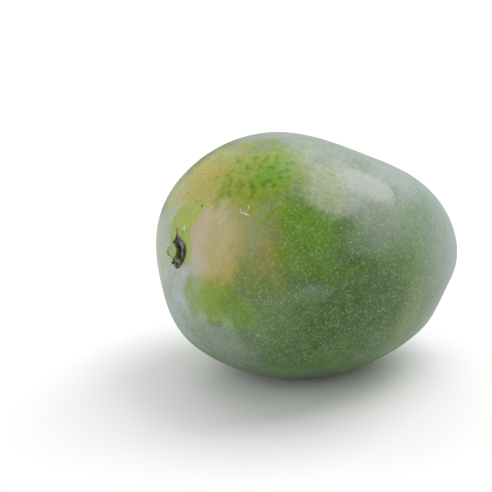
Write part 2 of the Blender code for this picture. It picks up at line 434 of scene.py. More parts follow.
# %% The skin's own colours, from the ground up
LEAF_GREEN = "#466a1c"
DARK_GREEN = "#3a5c18"
SUN_TINT = "#83903c"
SKIN_PATCHES = (
    Patch("paler green towards the tip", 136, 345, 66, 92, 0, 0.7, 0.3, 0.7, "#6b8a48"),
    Patch("paler green shoulder", 30, 345, 40, 54, 0, 0.7, 0.6, 0.6, "#687f34"),
    Patch("deep green belly", 88, 14, 62, 38, -8, 0.7, 0.6, 0.42, "#2e5014"),
    Patch("sunny shoulder", 27, 285, 46, 56, -10, 0.6, 0.7, 0.9, "#98983a"),
    Patch("tan strip near the tip", 114, 12, 28, 9, 80, 0.8, 0.7, 0.4, "#8c9450"),
    Patch("olive beside the blush", 38, 336, 24, 32, 0, 0.7, 0.9, 0.85, "#7c8230"),
    Patch("green finger into the olive", 49, 349, 14, 6, -51, 0.6, 1.1, 0.7, "#5f8020"),
    Patch("blush", 17, 328, 34, 24, 58, 0.55, 0.6, 0.95, "#b49e4c"),
    Patch("blush fades to yellow", 18, 356, 20, 17, 64, 0.75, 0.8, 0.85, "#aa9c46"),
    Patch("blush's upper end", 24, 296, 13, 9, -45, 0.6, 0.6, 0.85, "#b0a456"),
    Patch("sandy strip above the blush", 30, 288, 10, 6, -50, 0.6, 0.6, 0.65, "#b4a850"),
    Patch("gold band", 31, 268, 30, 24, -9, 0.5, 1.0, 0.85, "#a69c2e"),
    Patch("yellow edge", 22, 252, 36, 20, 18, 0.6, 0.8, 0.8, "#aca44c"),
    Patch("yellow rim", 24, 228, 20, 14, -85, 0.6, 0.4, 0.85, "#b0a850"),
    Patch("greener above the gold", 39, 268.5, 13, 8, -66, 0.6, 0.9, 0.75, "#8e9226"),
    Patch("gold fleck over the shoulder", 37, 277, 11, 7, -32, 0.6, 1.5, 0.7, "#b8932a"),
    Patch("gold fleck by the shoulder", 28, 272, 9, 6, -22, 0.6, 1.5, 0.35, "#b59232"),
    Patch("orange fleck in the blush", 26, 334, 12, 6, -105, 0.7, 1.3, 0.22, "#bf9148"),
    Patch("orange tail", 41, 343, 11, 6, -81, 0.8, 1.3, 0.38, "#987c30"),
    Patch("yellow-green patch", 25, 34, 27, 16, 8, 0.4, 1.1, 0.95, "#7a9222"),
    Patch("yellow-green patch's heart", 33, 24, 12, 13, -11, 0.6, 1.3, 0.9, "#5c7e10"),
    Patch("yellow-green patch's lobe", 28, 46, 7, 8, 0, 0.6, 1.0, 0.8, "#6c8c22"),
    Patch("yellow-green patch's low end", 36, 32, 9, 8, -30, 0.6, 1.0, 0.8, "#5c821c"),
    Patch("yellow-green drip", 28.8, 48, 4.5, 2.6, -79, 0.4, 0.4, 0.85, "#7a9420"),
    Patch("second yellow-green drip", 37.2, 28.5, 6, 3.6, -80, 0.4, 0.4, 0.85, "#5c8018"),
    Patch("yellow-green patch's pale end", 21, 69, 18, 15, 51, 0.6, 0.9, 0.8, "#86985a"),
    Patch("rubbed green", 46, 297, 34, 32, -44, 0.4, 1.3, 0.95, "#769018"),
    Patch("rubbed green's heart", 49, 294, 20, 12, -30, 0.6, 1.4, 0.8, "#629218"),
    Patch("olive on the rub's left", 41, 288, 24, 11, 11, 0.7, 1.3, 0.75, "#8e9626"),
    Patch("olive below the rub", 35, 306, 15, 10, -80, 0.6, 1.2, 0.8, "#8c9428"),
    Patch("pale olive beyond the rub", 61, 291, 16, 16, -20, 0.6, 0.8, 0.25, "#98a65c"),
    Patch("pale olive under the smeared wax", 67, 311, 24, 26, -40, 0.5, 0.8, 0.75, "#7e8e46"),
    Patch("bright green", 57, 333, 26, 21, -36, 0.6, 1.3, 0.9, "#5c840e"),
    Patch("bright green's tail", 62, 348, 27, 11, -43, 0.8, 1.0, 0.6, "#557a20"),
    Patch("halo round the stem", 8, 239, 21, 17, -12, 0.22, 0.4, 0.95, "#92a838"),
    Patch("halo's point", 16, 272, 17, 10, -32, 0.3, 0.5, 0.9, "#9cac40"),
    Patch("halo on the stem's near side", 4, 345, 11, 5, 168, 0.4, 0.4, 0.9, "#98ac44"),
    Patch("halo on the stem's far side", 10, 204, 8, 5, -150, 0.4, 0.4, 0.85, "#94a650"),
    Patch("yellow line along the halo", 11, 288, 9, 1.6, 14, 0.5, 0.5, 0.6, "#b4aa40"),
    # The creases are dark lines of painted shade in the skin's folds, and the bright spot among them
    # is a painted glint on a pucker.
    Patch("crease in the halo", 7.5, 251.5, 2.6, 0.7, -175, 0.5, 0.3, 0.8, "#46601a"),
    Patch("second crease", 8.7, 272, 2.0, 0.7, -169, 0.5, 0.3, 0.7, "#5a7a1c"),
    Patch("third crease", 10.4, 225, 3.2, 0.6, -146, 0.5, 0.3, 0.6, "#5a6428"),
    Patch("bright spot in the halo", 9.2, 260.5, 2.0, 1.6, -170, 0.6, 0.3, 0.8, "#bcd684"),
    Patch("smear above the tongue", 12.4, 233, 4.6, 2.4, -156, 0.6, 0.4, 0.75, "#aaa266"),
    Patch("stain between the tongues", 7.0, 216, 3.4, 2.2, -155, 0.5, 0.4, 0.85, "#8d7c80"),
    Patch("dry sap below the stub", 7.7, 141, 8, 4, -77, 0.4, 0.6, 0.8, "#8f8a74"),
    Patch("brown speck", 20, 282, 1.6, 1.2, -63, 0.6, 0.6, 0.8, "#4c4820"),
    Patch("second brown speck", 20, 271, 1.2, 1.0, 0, 0.5, 0.6, 0.7, "#5a5a2c"),
    Patch("third brown speck", 21, 275, 0.9, 0.9, 0, 0.5, 0.6, 0.6, "#4e4c26"),
)

# %% The bloom: how much wax lies where, from 0 for bare skin to 1 for a white frost
BARE_BLOOM = 0.04
BLOOM_COLOUR = "#b2b8b7"
BLOOM_PATCHES = (
    Patch("thin frost on the tip's half", 138, 342, 76, 92, 0, 0.7, 0.4, 0.9, 0.27),
    Patch("thinner low on the tip's half", 88, 3, 50, 44, 0, 0.8, 0.5, 0.8, 0.03),
    Patch("frost on the tip", 150, 335, 49, 65, 0, 0.7, 0.4, 0.9, 0.6),
    Patch("frost on the upper cheek", 84, 276, 90, 50, 0, 0.55, 0.5, 0.95, 0.6),
    Patch("thin frost on the underside", 62, 92, 84, 52, 0, 0.7, 0.6, 0.8, 0.22),
    Patch("thin frost low on the front", 45, 30, 24, 30, 0, 0.7, 0.9, 0.8, 0.12),
    Patch("frost low at the stem end", 30, 68, 38, 28, 0, 0.5, 0.8, 0.9, 0.48),
    Patch("frost below the yellow-green", 32, 44, 15, 9, 66, 0.5, 0.7, 0.9, 0.52),
    Patch("thin frost over the belly", 82, 340, 28, 10, -10, 0.7, 0.8, 0.8, 0.16),
    Patch("frost on the far side", 70, 200, 90, 60, 20, 0.5, 0.9, 0.8, 0.45),
    Patch("frost at the stem end", 18, 162, 52, 32, 60, 0.45, 0.4, 0.95, 0.92),
    Patch("frost below the stem", 12, 74, 24, 16, 0, 0.3, 0.5, 0.95, 0.9),
    Patch("frost left of the gold", 19, 228, 20, 15, -11, 0.5, 0.6, 0.95, 0.82),
    Patch("darker beside the belly", 71.5, 351, 11, 9, 0, 0.7, 0.6, 0.8, 0.02),
    Patch("dusty spot on the belly", 59, 3, 14, 7, 0, 0.7, 0.6, 0.7, 0.24),
    Patch("wax below the polished end", 84, 321, 10, 6, -20, 0.5, 0.5, 0.7, 0.62),
    Patch("veil over the blush", 18, 322, 26, 24, 50, 0.5, 0.5, 0.9, 0.4),
    Patch("edge of the veil", 14, 306, 26, 9, 34, 0.5, 0.4, 0.9, 0.62),
    Patch("frost between the stem and the blush", 9, 10, 15, 10, -80, 0.5, 0.4, 0.9, 0.66),
    Patch("smeared wax", 71.5, 311, 25, 27, -40, 0.25, 0.7, 0.95, 0.51),
    Patch("frost below the polished wax", 88, 322, 34, 18, -20, 0.5, 0.8, 0.85, 0.48),
    Patch("smeared wax, lower down", 70, 318, 21, 12, -10, 0.35, 0.7, 0.95, 0.53),
    Patch("thin wax on the rub's edge", 55, 303, 12, 15, -20, 0.6, 0.8, 0.6, 0.24),
    Patch("thin wax over the front", 91, 333, 26, 15, -11, 0.7, 0.6, 0.8, 0.36),
    Patch("thinner below the smeared wax", 68, 333, 14, 8, -11, 0.7, 0.6, 0.4, 0.08),
    Patch("thin veil beside the blush", 34, 330, 13, 18, 0, 0.6, 0.6, 0.8, 0.2),
    Patch("thin veil beside the scar", 42, 321, 15, 11, -25, 0.7, 0.6, 0.8, 0.25),
    Patch("rubbed thin towards the top", 52, 273, 22, 13, -30, 0.5, 0.8, 0.8, 0.12),
    Patch("thin frost on the yellow rim", 24, 228, 20, 12, -85, 0.5, 0.4, 0.85, 0.34),
    Patch("frost on the low rim", 27, 102, 26, 13, 45, 0.5, 0.5, 0.9, 0.82),
    Patch("veil's upper end", 22.5, 297, 11, 9, -45, 0.5, 0.4, 0.9, 0.66),
    Patch("frost beyond the polished wax", 113, 301, 28, 20, 0, 0.6, 0.5, 0.8, 0.6),
    Patch("thin frost low at the front", 44, 36, 12, 16, 0, 0.7, 0.7, 0.8, 0.16),
    # The polished spot is real smeared wax, laid thick and pale so that it is also a painted
    # highlight.
    Patch("polished wax", 89.5, 311, 24, 12.5, -27, 0.28, 0.5, 1.0, 0.69),
    Patch("thin wax on the gold band", 31, 268, 38, 28, -9, 0.5, 0.9, 0.9, 0.06),
    Patch("thin wax above the gold", 42.5, 259, 18, 8, -70, 0.6, 0.6, 0.85, 0.2),
    Patch("rubbed bare", 45, 296, 32, 34, -44, 0.35, 1.0, 0.98, 0.0),
    Patch("wiped bare", 54.6, 333.5, 27, 18.5, -36, 0.5, 0.9, 0.95, 0.02),
    Patch("halo wiped bare", 8, 239, 21, 16, -12, 0.15, 0.35, 0.97, 0.04),
    Patch("halo's point wiped bare", 16, 272, 17, 9, -32, 0.25, 0.5, 0.9, 0.1),
    Patch("halo wiped bare on the near side", 4, 345, 11, 5, 168, 0.3, 0.4, 0.9, 0.08),
    Patch("halo wiped bare on the far side", 10, 204, 8, 5, -150, 0.3, 0.4, 0.85, 0.12),
    Patch("yellow-green wiped bare", 25, 37, 30, 19, 4, 0.3, 0.9, 0.92, 0.03),
    Patch("veil above the yellow-green", 14.5, 34, 8, 6, 20, 0.5, 0.5, 0.8, 0.36),
    Patch("frost beside the drip", 27.5, 61, 8, 6, -77, 0.4, 0.5, 0.9, 0.46),
    Patch("frost between the drips", 35.2, 45.5, 11, 5, -80, 0.4, 0.5, 0.9, 0.36),
    Patch("drip wiped bare", 28.8, 48.5, 5, 2.8, -79, 0.3, 0.4, 0.9, 0.05),
    Patch("second drip wiped bare", 37.2, 29, 6, 3.8, -80, 0.3, 0.4, 0.9, 0.03),
)

# %% The wax's tints, painted light among them, and where it is dabbed off, where the skin is freckled, and where bruised
BLOOM_TINTS = (
    # Two kinds of tint paint light. The neutral grey on the polished spot is the colour of its
    # painted highlight. The bluer wax on the tip and beyond the polished spot is partly the wax's own
    # tint and partly a painted cool reflection along the right rim.
    Patch("bluer on the tip", 155, 300, 96, 96, 0, 0.5, 0.2, 1.0, "#a8b0bc"),
    Patch("bluer beyond the polished wax", 113, 301, 34, 26, 0, 0.5, 0.2, 0.9, "#b2b8c4"),
    Patch("greener on the smeared wax", 65, 312, 20, 24, -30, 0.5, 0.3, 0.9, "#afb5a3"),
    Patch("neutral on the polished wax", 89.5, 311, 27, 16, -27, 0.5, 0.3, 0.9, "#babbbc"),
    Patch("bluer underneath", 60, 90, 100, 60, 0, 0.5, 0.2, 1.0, "#a8b4b2"),
    Patch("greener by the stem", 17, 176, 40, 30, -100, 0.5, 0.3, 0.9, "#b2baa6"),
    Patch("warmer on the veil", 18, 318, 30, 26, 20, 0.4, 0.2, 0.9, "#bab4ae"),
)
DAB_PATCHES = (
    Patch("dabbed all over", 90, 0, 200, 200, 0, 0.5, 0.0, 0.2, 1.0),
    # Where the polished spot is painted as a highlight, the wax is not dabbed off, so the painted
    # highlight stays even.
    Patch("not dabbed where it was polished", 93, 309, 26, 16, -26, 0.4, 0.3, 1.0, 0.1),
    Patch("not dabbed at the stem end", 12, 30, 60, 60, 0, 0.5, 0.3, 0.9, 0.15),
    Patch("dabbed beside the rub", 68, 312, 20, 24, -20, 0.4, 0.5, 0.35, 1.0),
)
FRECKLE_PATCHES = (
    Patch("freckled all over", 90, 0, 200, 200, 0, 0.5, 0.0, 1.0, 0.17),
    Patch("plain where it blushed", 20, 325, 44, 40, 30, 0.5, 0.6, 0.95, 0.0),
    Patch("plain on the frost", 18, 162, 52, 32, 60, 0.5, 0.4, 0.9, 0.03),
    Patch("fewer where it was rubbed", 44, 292, 38, 32, -30, 0.5, 0.6, 0.7, 0.05),
    Patch("fewer on the yellow-green", 28, 35, 28, 18, 4, 0.5, 0.6, 0.9, 0.03),
)
BRUISE_PATCHES = (
    Patch("bruised where it was rubbed", 47, 294, 36, 30, -30, 0.5, 0.6, 1.0, 1.0),
    Patch("bruised edge", 62, 312, 12, 26, -40, 0.5, 0.6, 0.35, 1.0),
)

# %% Lay one patch over what is below it
MIX_SOCKETS = {"RGBA": (6, 7), "FLOAT": (2, 3)}  # a Mix node's inputs for each kind of value
FADE_RADII = 4  # a round gradient falls from 1 in a patch's middle to 0 this many radii away


def lay_patch(tree, place, frayed_by, below, patch):
    """Mixes a patch over the colour or the amount below it. place is in metres."""
    point, out = on_skin(patch.lat, patch.lon)
    tipward = (Vector((1, 0, 0)) - out * out.x).normalized()
    long_way = Matrix.Rotation(math.radians(patch.turn), 3, out) @ tipward
    axes = Matrix((long_way, out.cross(long_way), out)).transposed()
    size = Vector((patch.long, patch.wide, max(patch.long, patch.wide))) * MM / 2 * FADE_RADII
    here = add_node(
        tree,
        "ShaderNodeMapping",
        {"Vector": place, "Location": point, "Rotation": axes.to_euler(), "Scale": size},
        vector_type="TEXTURE",
        label=patch.name,
    )
    near = add_node(tree, "ShaderNodeTexGradient", {"Vector": here}, gradient_type="SPHERICAL")
    frays = {0: frayed_by, 1: -patch.frayed / FADE_RADII, 2: near.outputs["Fac"]}
    edge = add_node(tree, "ShaderNodeMath", frays, operation="MULTIPLY_ADD")
    fades = {
        "Value": edge,
        "From Min": 1 - (1 + patch.soft) / FADE_RADII,
        "From Max": 1 - (1 - patch.soft) / FADE_RADII,
        "To Max": patch.strength,
    }
    cover = add_node(tree, "ShaderNodeMapRange", fades, interpolation_type="SMOOTHSTEP")
    kind = "RGBA" if isinstance(patch.paint, str) else "FLOAT"
    first, second = MIX_SOCKETS[kind]
    paint = colour(patch.paint) if kind == "RGBA" else patch.paint
    mixed = {0: cover, first: below, second: paint}
    return add_node(tree, "ShaderNodeMix", mixed, data_type=kind)


def lay_patches(tree, place, frayed_by, below, patches):
    for patch in patches:
        below = lay_patch(tree, place, frayed_by, below, patch)
    return below


# %% Smudges of noise
def smudges(tree, place, size, detail, low, high, rough=0.5):
    """Noise cut to soft smudges: 0 where it is below low, 1 where it is above high."""
    sea = add_node(
        tree,
        "ShaderNodeTexNoise",
        {"Vector": place, "Scale": 1 / size, "Detail": detail, "Roughness": rough},
    )
    cut = {"Value": sea, "From Min": low, "From Max": high}
    return add_node(tree, "ShaderNodeMapRange", cut, interpolation_type="SMOOTHSTEP")


# %% Two colours, mixed by smudges
def mottle(tree, place, dark, pale, size, detail, low, high, rough=0.5):
    cover = smudges(tree, place, size, detail, low, high, rough)
    tones = {0: cover, 6: colour(dark), 7: colour(pale)}
    return add_node(tree, "ShaderNodeMix", tones, data_type="RGBA")


# %% The bare skin: two greens, the patches, blotches of sun, grain, freckles and bruises
CLOUD_SIZE = 9 * MM
BLOTCH_SIZE = 5 * MM
BLOTCH_STRENGTH = 0.25
GRAIN_SIZE = 1.2 * MM
GRAIN_STRENGTH = 0.24
LEAST_GRAIN = 0.4
GRAIN_BY_FRECKLES = 3.5  # where the skin is more freckled it is grainier too
FRECKLE_SIZE = 1.2 * MM
PORE_COLOUR = "#bccab0"
BRUISE_SIZE = 2.4 * MM
BRUISE = "#acd274"  # what a bruise multiplies the skin's colour by


def bare_skin(tree, place, frayed_by, paleness):
    """Returns the skin's colour, and how bruised it is."""
    ground = mottle(tree, place, DARK_GREEN, LEAF_GREEN, CLOUD_SIZE, 4.0, 0.38, 0.62, rough=0.6)
    skin_colour = lay_patches(tree, place, frayed_by, ground, SKIN_PATCHES)

    sunned = smudges(tree, place, BLOTCH_SIZE, 4.0, 0.48, 0.8, rough=0.6)
    sun = add_node(tree, "ShaderNodeMath", {0: sunned, 1: BLOTCH_STRENGTH}, operation="MULTIPLY")
    sunny = {0: sun, 6: skin_colour, 7: colour(SUN_TINT)}
    skin_colour = add_node(tree, "ShaderNodeMix", sunny, data_type="RGBA")

    freckled_by = lay_patches(tree, place, frayed_by, 0.0, FRECKLE_PATCHES)
    grain = waves(tree, place, GRAIN_SIZE, 3.0, GRAIN_STRENGTH)
    more = {0: freckled_by, 1: GRAIN_BY_FRECKLES, 2: LEAST_GRAIN}
    grained_by = add_node(tree, "ShaderNodeMath", more, operation="MULTIPLY_ADD")
    scaled = {0: grain, 1: grained_by, 2: 1.0}
    grainy = add_node(tree, "ShaderNodeMath", scaled, operation="MULTIPLY_ADD")
    skin_colour = add_node(
        tree, "ShaderNodeVectorMath", {0: skin_colour, "Scale": grainy}, operation="SCALE"
    )
    spotted = smudges(tree, place, FRECKLE_SIZE, 1.0, 0.54, 0.78)
    freckles = add_node(tree, "ShaderNodeMath", {0: spotted, 1: freckled_by}, operation="MULTIPLY")
    for cover in (freckles, paleness):
        paler = {0: cover, 6: skin_colour, 7: colour(PORE_COLOUR)}
        skin_colour = add_node(tree, "ShaderNodeMix", paler, data_type="RGBA")

    rubbed = lay_patches(tree, place, frayed_by, 0.0, BRUISE_PATCHES)
    spots = smudges(tree, place, BRUISE_SIZE, 2.0, 0.45, 0.7)
    bruised = add_node(tree, "ShaderNodeMath", {0: spots, 1: rubbed}, operation="MULTIPLY")
    darker = add_node(
        tree, "ShaderNodeVectorMath", {0: skin_colour, 1: colour(BRUISE)[:3]}, operation="MULTIPLY"
    )
    marked = {0: bruised, 6: skin_colour, 7: darker}
    return add_node(tree, "ShaderNodeMix", marked, data_type="RGBA"), bruised


# %% The wax: its patches, thicker here and thinner there, dabbed off in spots, with a dusty grain
UNEVEN_SIZE = 4 * MM
UNEVENNESS = 0.06
DAB_SIZE = 2.0 * MM
DAB_STRENGTH = 0.75
DUST_SIZE = 0.9 * MM
DUST_STRENGTH = 0.2


def wax_cover(tree, place, frayed_by):
    """Returns how much wax covers the skin, and the wax's grain."""
    laid = lay_patches(tree, place, frayed_by, BARE_BLOOM, BLOOM_PATCHES)
    uneven = waves(tree, place, UNEVEN_SIZE, 3.0, UNEVENNESS)
    wax = add_node(tree, "ShaderNodeMath", {0: laid, 1: uneven}, operation="ADD", use_clamp=True)
    dabbed = lay_patches(tree, place, frayed_by, 0.0, DAB_PATCHES)
    dabs = smudges(tree, place, DAB_SIZE, 3.0, 0.42, 0.66)
    missing = add_node(tree, "ShaderNodeMath", {0: dabs, 1: dabbed}, operation="MULTIPLY")
    kept = {0: missing, 1: -DAB_STRENGTH, 2: 1.0}
    left_on = add_node(tree, "ShaderNodeMath", kept, operation="MULTIPLY_ADD")
    wax = add_node(tree, "ShaderNodeMath", {0: wax, 1: left_on}, operation="MULTIPLY")
    dust = waves(tree, place, DUST_SIZE, 2.0, DUST_STRENGTH)
    dusty = add_node(tree, "ShaderNodeMath", {0: dust, 1: 1.0}, operation="ADD")
    wax = add_node(
        tree, "ShaderNodeMath", {0: wax, 1: dusty}, operation="MULTIPLY", use_clamp=True
    )
    return wax, dust


# %% The peel's colour, roughness and relief, as one group that the skin and its pores share
FRAY_SIZE = 8 * MM  # the largest waves of a patch's edge
SKIN_ROUGHNESS = 0.36
WAX_ROUGHNESS = 0.5
DUST_RELIEF = 0.05  # in millimetres, as the relief is
BRUISE_RELIEF = -0.03


def peel_group():
    inputs = {"Place": "Vector", "Paleness": "Float"}
    outputs = {"Colour": "Color", "Roughness": "Float", "Relief": "Float"}
    tree, given = new_tree("peel", "ShaderNodeTree", inputs, outputs)
    place = given["Place"]
    frayed_by = waves(tree, place, FRAY_SIZE, 5.0, 0.5, rough=0.62)
    skin_colour, bruised = bare_skin(tree, place, frayed_by, given["Paleness"])
    wax, dust = wax_cover(tree, place, frayed_by)
    wax_colour = lay_patches(tree, place, frayed_by, colour(BLOOM_COLOUR), BLOOM_TINTS)
    layers = {0: wax, 6: skin_colour, 7: wax_colour}
    frosted = add_node(tree, "ShaderNodeMix", layers, data_type="RGBA")
    limits = {"Value": wax, "To Min": SKIN_ROUGHNESS, "To Max": WAX_ROUGHNESS}
    roughness = add_node(tree, "ShaderNodeMapRange", limits)
    sunk = add_node(tree, "ShaderNodeMath", {0: bruised, 1: BRUISE_RELIEF}, operation="MULTIPLY")
    relief = add_node(
        tree, "ShaderNodeMath", {0: dust, 1: DUST_RELIEF, 2: sunk}, operation="MULTIPLY_ADD"
    )
    add_node(
        tree, "NodeGroupOutput", {"Colour": frosted, "Roughness": roughness, "Relief": relief}
    )
    return tree


peel_layers = peel_group()
print(len(peel_layers.nodes), "nodes in the peel group")

# %% The peel's material
def dress_peel(tree, shader, lighten_by=None):
    """Feeds a shader from the peel's layers. lighten_by names an attribute that bleaches them."""
    place = add_node(tree, "ShaderNodeTexCoord").outputs["Object"]
    sockets = {"Place": place, "Paleness": 0.0}
    if lighten_by:
        attribute = add_node(tree, "ShaderNodeAttribute", attribute_name=lighten_by)
        sockets["Paleness"] = attribute.outputs["Fac"]
    layers = add_node(tree, "ShaderNodeGroup", sockets, node_tree=peel_layers).outputs
    bump = add_node(tree, "ShaderNodeBump", {"Height": layers["Relief"], "Distance": MM})
    surface = {"Base Color": layers["Colour"], "Roughness": layers["Roughness"], "Normal": bump}
    fill(tree, shader, surface)


dress_peel(peel_tree, peel_shader)

# %% [markdown]
# ## The pores
#
# Every mango is dotted with lenticels, the pores that it breathes through. Each is a low corky dot,
# paler than the green, about half a millimetre across and about a millimetre or more from its
# neighbours. That is slightly coarser than life, or the finest of them wouldn't show. They could be
# dots in the skin's material, but a raised dot catches the light, so they are real. Geometry Nodes
# scatter them so that no two are too close. There are thousands, so each is a flattened bead of 12
# faces, half of it below the skin, and it takes its colour from the peel round it, bleached a
# little. Most are faint and a few are bright, and where the fruit was rubbed and where it blushed
# they have nearly vanished.

# %% The pores' sizes, and how pale they are
PORE_SIZES = {
    "Skin": skin,
    "Spacing": 0.9 * MM,
    "Crowd": 0.8e6,  # how many would fall on a square metre if none were too close
    "Smallest": 0.15 * MM,
    "Largest": 0.36 * MM,
    "Flatness": 0.12,
    "Stem": tuple(on_skin(STEM_LAT, STEM_LON)[0]),
    "Clear Of Stem": 7.0 * MM,
    "Least Pale": 0.08,
    "Palest": 0.42,
    "Rub": tuple(on_skin(34, 300)[0]),
    "Faint Within": 18.0 * MM,
    "Plain Beyond": 42.0 * MM,
    "Faintest": 0.3,  # how much of its paleness a pore keeps at the rub
    "Seed": 4,
    "Size Seed": 9,
}


def pore_paleness(tree, given, here):
    """Few pores are very pale, and fewer where the fruit was rubbed."""
    from_rub = add_node(
        tree, "ShaderNodeVectorMath", {0: here, 1: given["Rub"]}, operation="DISTANCE"
    )
    fades = {
        "Value": from_rub.outputs["Value"],
        "From Min": given["Faint Within"],
        "From Max": given["Plain Beyond"],
        "To Min": given["Faintest"],
    }
    plain = add_node(tree, "ShaderNodeMapRange", fades)
    luck = add_node(tree, "FunctionNodeRandomValue", {"Seed": given["Seed"]}, data_type="FLOAT")
    squared = add_node(tree, "ShaderNodeMath", {0: luck, 1: luck}, operation="MULTIPLY")
    limits = {"Value": squared, "To Min": given["Least Pale"], "To Max": given["Palest"]}
    shade = add_node(tree, "ShaderNodeMapRange", limits)
    return add_node(tree, "ShaderNodeMath", {0: shade, 1: plain}, operation="MULTIPLY")


# %% The pores' tree: points on the skin, and a bead on each
def pore_tree(material):
    tree, given = new_geometry_tree("lenticels", PORE_SIZES)
    ground = add_node(tree, "GeometryNodeObjectInfo", {"Object": given["Skin"]})
    here = add_node(tree, "GeometryNodeInputPosition")
    from_stem = add_node(
        tree, "ShaderNodeVectorMath", {0: here, 1: given["Stem"]}, operation="DISTANCE"
    )
    far = {0: from_stem.outputs["Value"], 1: given["Clear Of Stem"]}
    open_ground = add_node(tree, "FunctionNodeCompare", far, operation="GREATER_THAN")
    scattered = {
        "Mesh": ground.outputs["Geometry"],
        "Selection": open_ground,
        "Distance Min": given["Spacing"],
        "Density Max": given["Crowd"],
        "Seed": given["Seed"],
    }
    points = add_node(
        tree, "GeometryNodeDistributePointsOnFaces", scattered, distribute_method="POISSON"
    ).outputs
    pale = {
        "Geometry": points["Points"],
        "Name": "paleness",
        "Value": pore_paleness(tree, given, here),
    }
    named = add_node(
        tree, "GeometryNodeStoreNamedAttribute", pale, data_type="FLOAT", domain="POINT"
    )
    luck = add_node(
        tree, "FunctionNodeRandomValue", {"Seed": given["Size Seed"]}, data_type="FLOAT"
    )
    limits = {"Value": luck, "To Min": given["Smallest"], "To Max": given["Largest"]}
    radius = add_node(tree, "ShaderNodeMapRange", limits)
    flat = add_node(
        tree, "ShaderNodeMath", {0: radius, 1: given["Flatness"]}, operation="MULTIPLY"
    )
    ball = add_node(tree, "GeometryNodeMeshUVSphere", {"Segments": 6, "Rings": 2, "Radius": 1.0})
    bead = add_node(tree, "GeometryNodeSetShadeSmooth", {"Geometry": ball, "Shade Smooth": False})
    placed = {
        "Points": named,
        "Instance": bead,
        "Rotation": points["Rotation"],
        "Scale": add_node(tree, "ShaderNodeCombineXYZ", {"X": radius, "Y": radius, "Z": flat}),
    }
    beads = add_node(tree, "GeometryNodeInstanceOnPoints", placed)
    finish_tree(tree, beads, material)
    return tree


# %% Grow the pores
cork, tree, shader = new_material("corky_lenticels", PEEL_SURFACE)
dress_peel(tree, shader, "paleness")
pores = grow("lenticels", pore_tree(cork), PORE_SIZES)
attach(pores, "root")

# %% [markdown]
# ## The stem end
#
# A mango hangs from a woody stalk. This one was cut a few millimetres above the fruit, and what is
# left is a green stub with a pale, fibrous cut face. When the stalk is cut, sap wells up round it.
# It burns the skin and dries to a dark, brittle crust with crumbs on it, and some of it ran down
# the skin before it dried.
#
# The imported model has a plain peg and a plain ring. Both stay for the simulation, and detailed
# pieces take their place here. First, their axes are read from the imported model, so that the new
# pieces stand where the old ones do.

# %% The stem's frame: the ways out of the fruit, up the skin and across, and places measured in it
def corners_of(node):
    return np.array([vertex.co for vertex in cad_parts[node].data.vertices])


ring_corners = corners_of("sap_ring")
ring_middle = Vector(ring_corners.mean(axis=0))
axes_by_spread = np.linalg.svd(ring_corners - ring_corners.mean(axis=0))[2]
ring_axis = Vector(axes_by_spread[2])  # the ring spreads least along its own axis
outward = -ring_axis if ring_axis.x > 0 else ring_axis
upward = (Vector((0, 0, 1)) - outward * outward.z).normalized()
across = outward.cross(upward)
stub_corners = corners_of("stem_stub")
stub_middle = Vector(stub_corners.mean(axis=0))
outer = (stub_corners - np.array(stub_middle)) @ np.array(outward) > 0
peg_way = Vector(stub_corners[outer].mean(axis=0) - stub_corners[~outer].mean(axis=0)).normalized()
peg_reach = (stub_corners - np.array(stub_middle)) @ np.array(peg_way)
peg_length = peg_reach.max() - peg_reach.min()
print("peg length in mm:", round(1000 * peg_length, 2))


def by_stem(over, up):
    """A place on the skin so many millimetres across and up from the middle of the stem."""
    return skin_faces.find_nearest(ring_middle + (across * over + upward * up) * MM)[0]


def round_stem(angle):
    """The unit vector across the stem at this angle: 0 is up, a quarter turn is across."""
    return upward * math.cos(angle) + across * math.sin(angle)


# %% A smooth curve through a few stops, for everything that is laid round the stem
def smooth_path(stops, count, closed=False):
    """Rows of numbers along a Catmull-Rom curve through the stops, which are such rows too."""
    stops = np.array(stops, float)
    ends = (stops[-1:], stops[:2]) if closed else (stops[:1], stops[-1:])
    padded = np.vstack((ends[0], stops, ends[1]))
    spans = len(padded) - 3
    rows = []
    for share in np.arange(count) / (count if closed else count - 1) * spans:
        first = min(int(share), spans - 1)
        part = share - first
        before, start, end, after = padded[first : first + 4]
        straight = end - before
        bend = 2 * before - 5 * start + 4 * end - after
        twist = 3 * start - before - 3 * end + after
        rows.append(start + 0.5 * (straight * part + bend * part**2 + twist * part**3))
    return rows


# %% [markdown]
# The stub is a lathe shape, but not a round one: its outline has ribs where the stalk's strands
# run, and the knife went through at a slant. So the rings of a profile are computed point by point.
# The profile runs from the bottom, up the ribbed side, over the bark's rim, and in across the cut
# face, which is dished. A smooth curve through a few corners gives the outline.

# %% The stub's sizes and its rings, from the bottom up and in across the cut face
STUB_STEPS = 128  # points round the stub
STUB_RADIUS = 3.0 * MM
STUB_CORNERS = (
    *((0.0, 3.0), (1.5, 1.7), (2.95, -0.9), (2.3, -2.5)),
    *((0.2, -2.95), (-2.3, -2.5), (-2.8, -0.9), (-2.4, 1.4)),
)  # millimetres across and up
RIBS = 17
RIB_HEIGHT = 0.05 * MM
RIB_WANDER = 2.0  # how far the ribs stray from equal turns, in radians
LUMP_HEIGHT = 0.18 * MM
LUMP_CIRCLE = 1.6  # the circle that the lumps are read from in the noise: a wider one has more
LUMP_LEVEL = 3.1  # and how high up in the noise it lies
SLANT = 0.17  # how much lower the cut is on its low side, for each millimetre from the middle
SLANT_LOW_SIDE = math.radians(-80)
FACE_ROUGHNESS = 0.09 * MM
COARSE_GRAIN = 0.6 * MM
FINE_GRAIN = 0.25 * MM
CUT_BELOW_PEG = 0.1 * MM
stub_way = (peg_way + upward * 0.1).normalized()  # the stalk leans up a little more than the peg
stub_foot = stub_middle + peg_way * peg_reach.min() + (upward + across) * 0.6 * MM

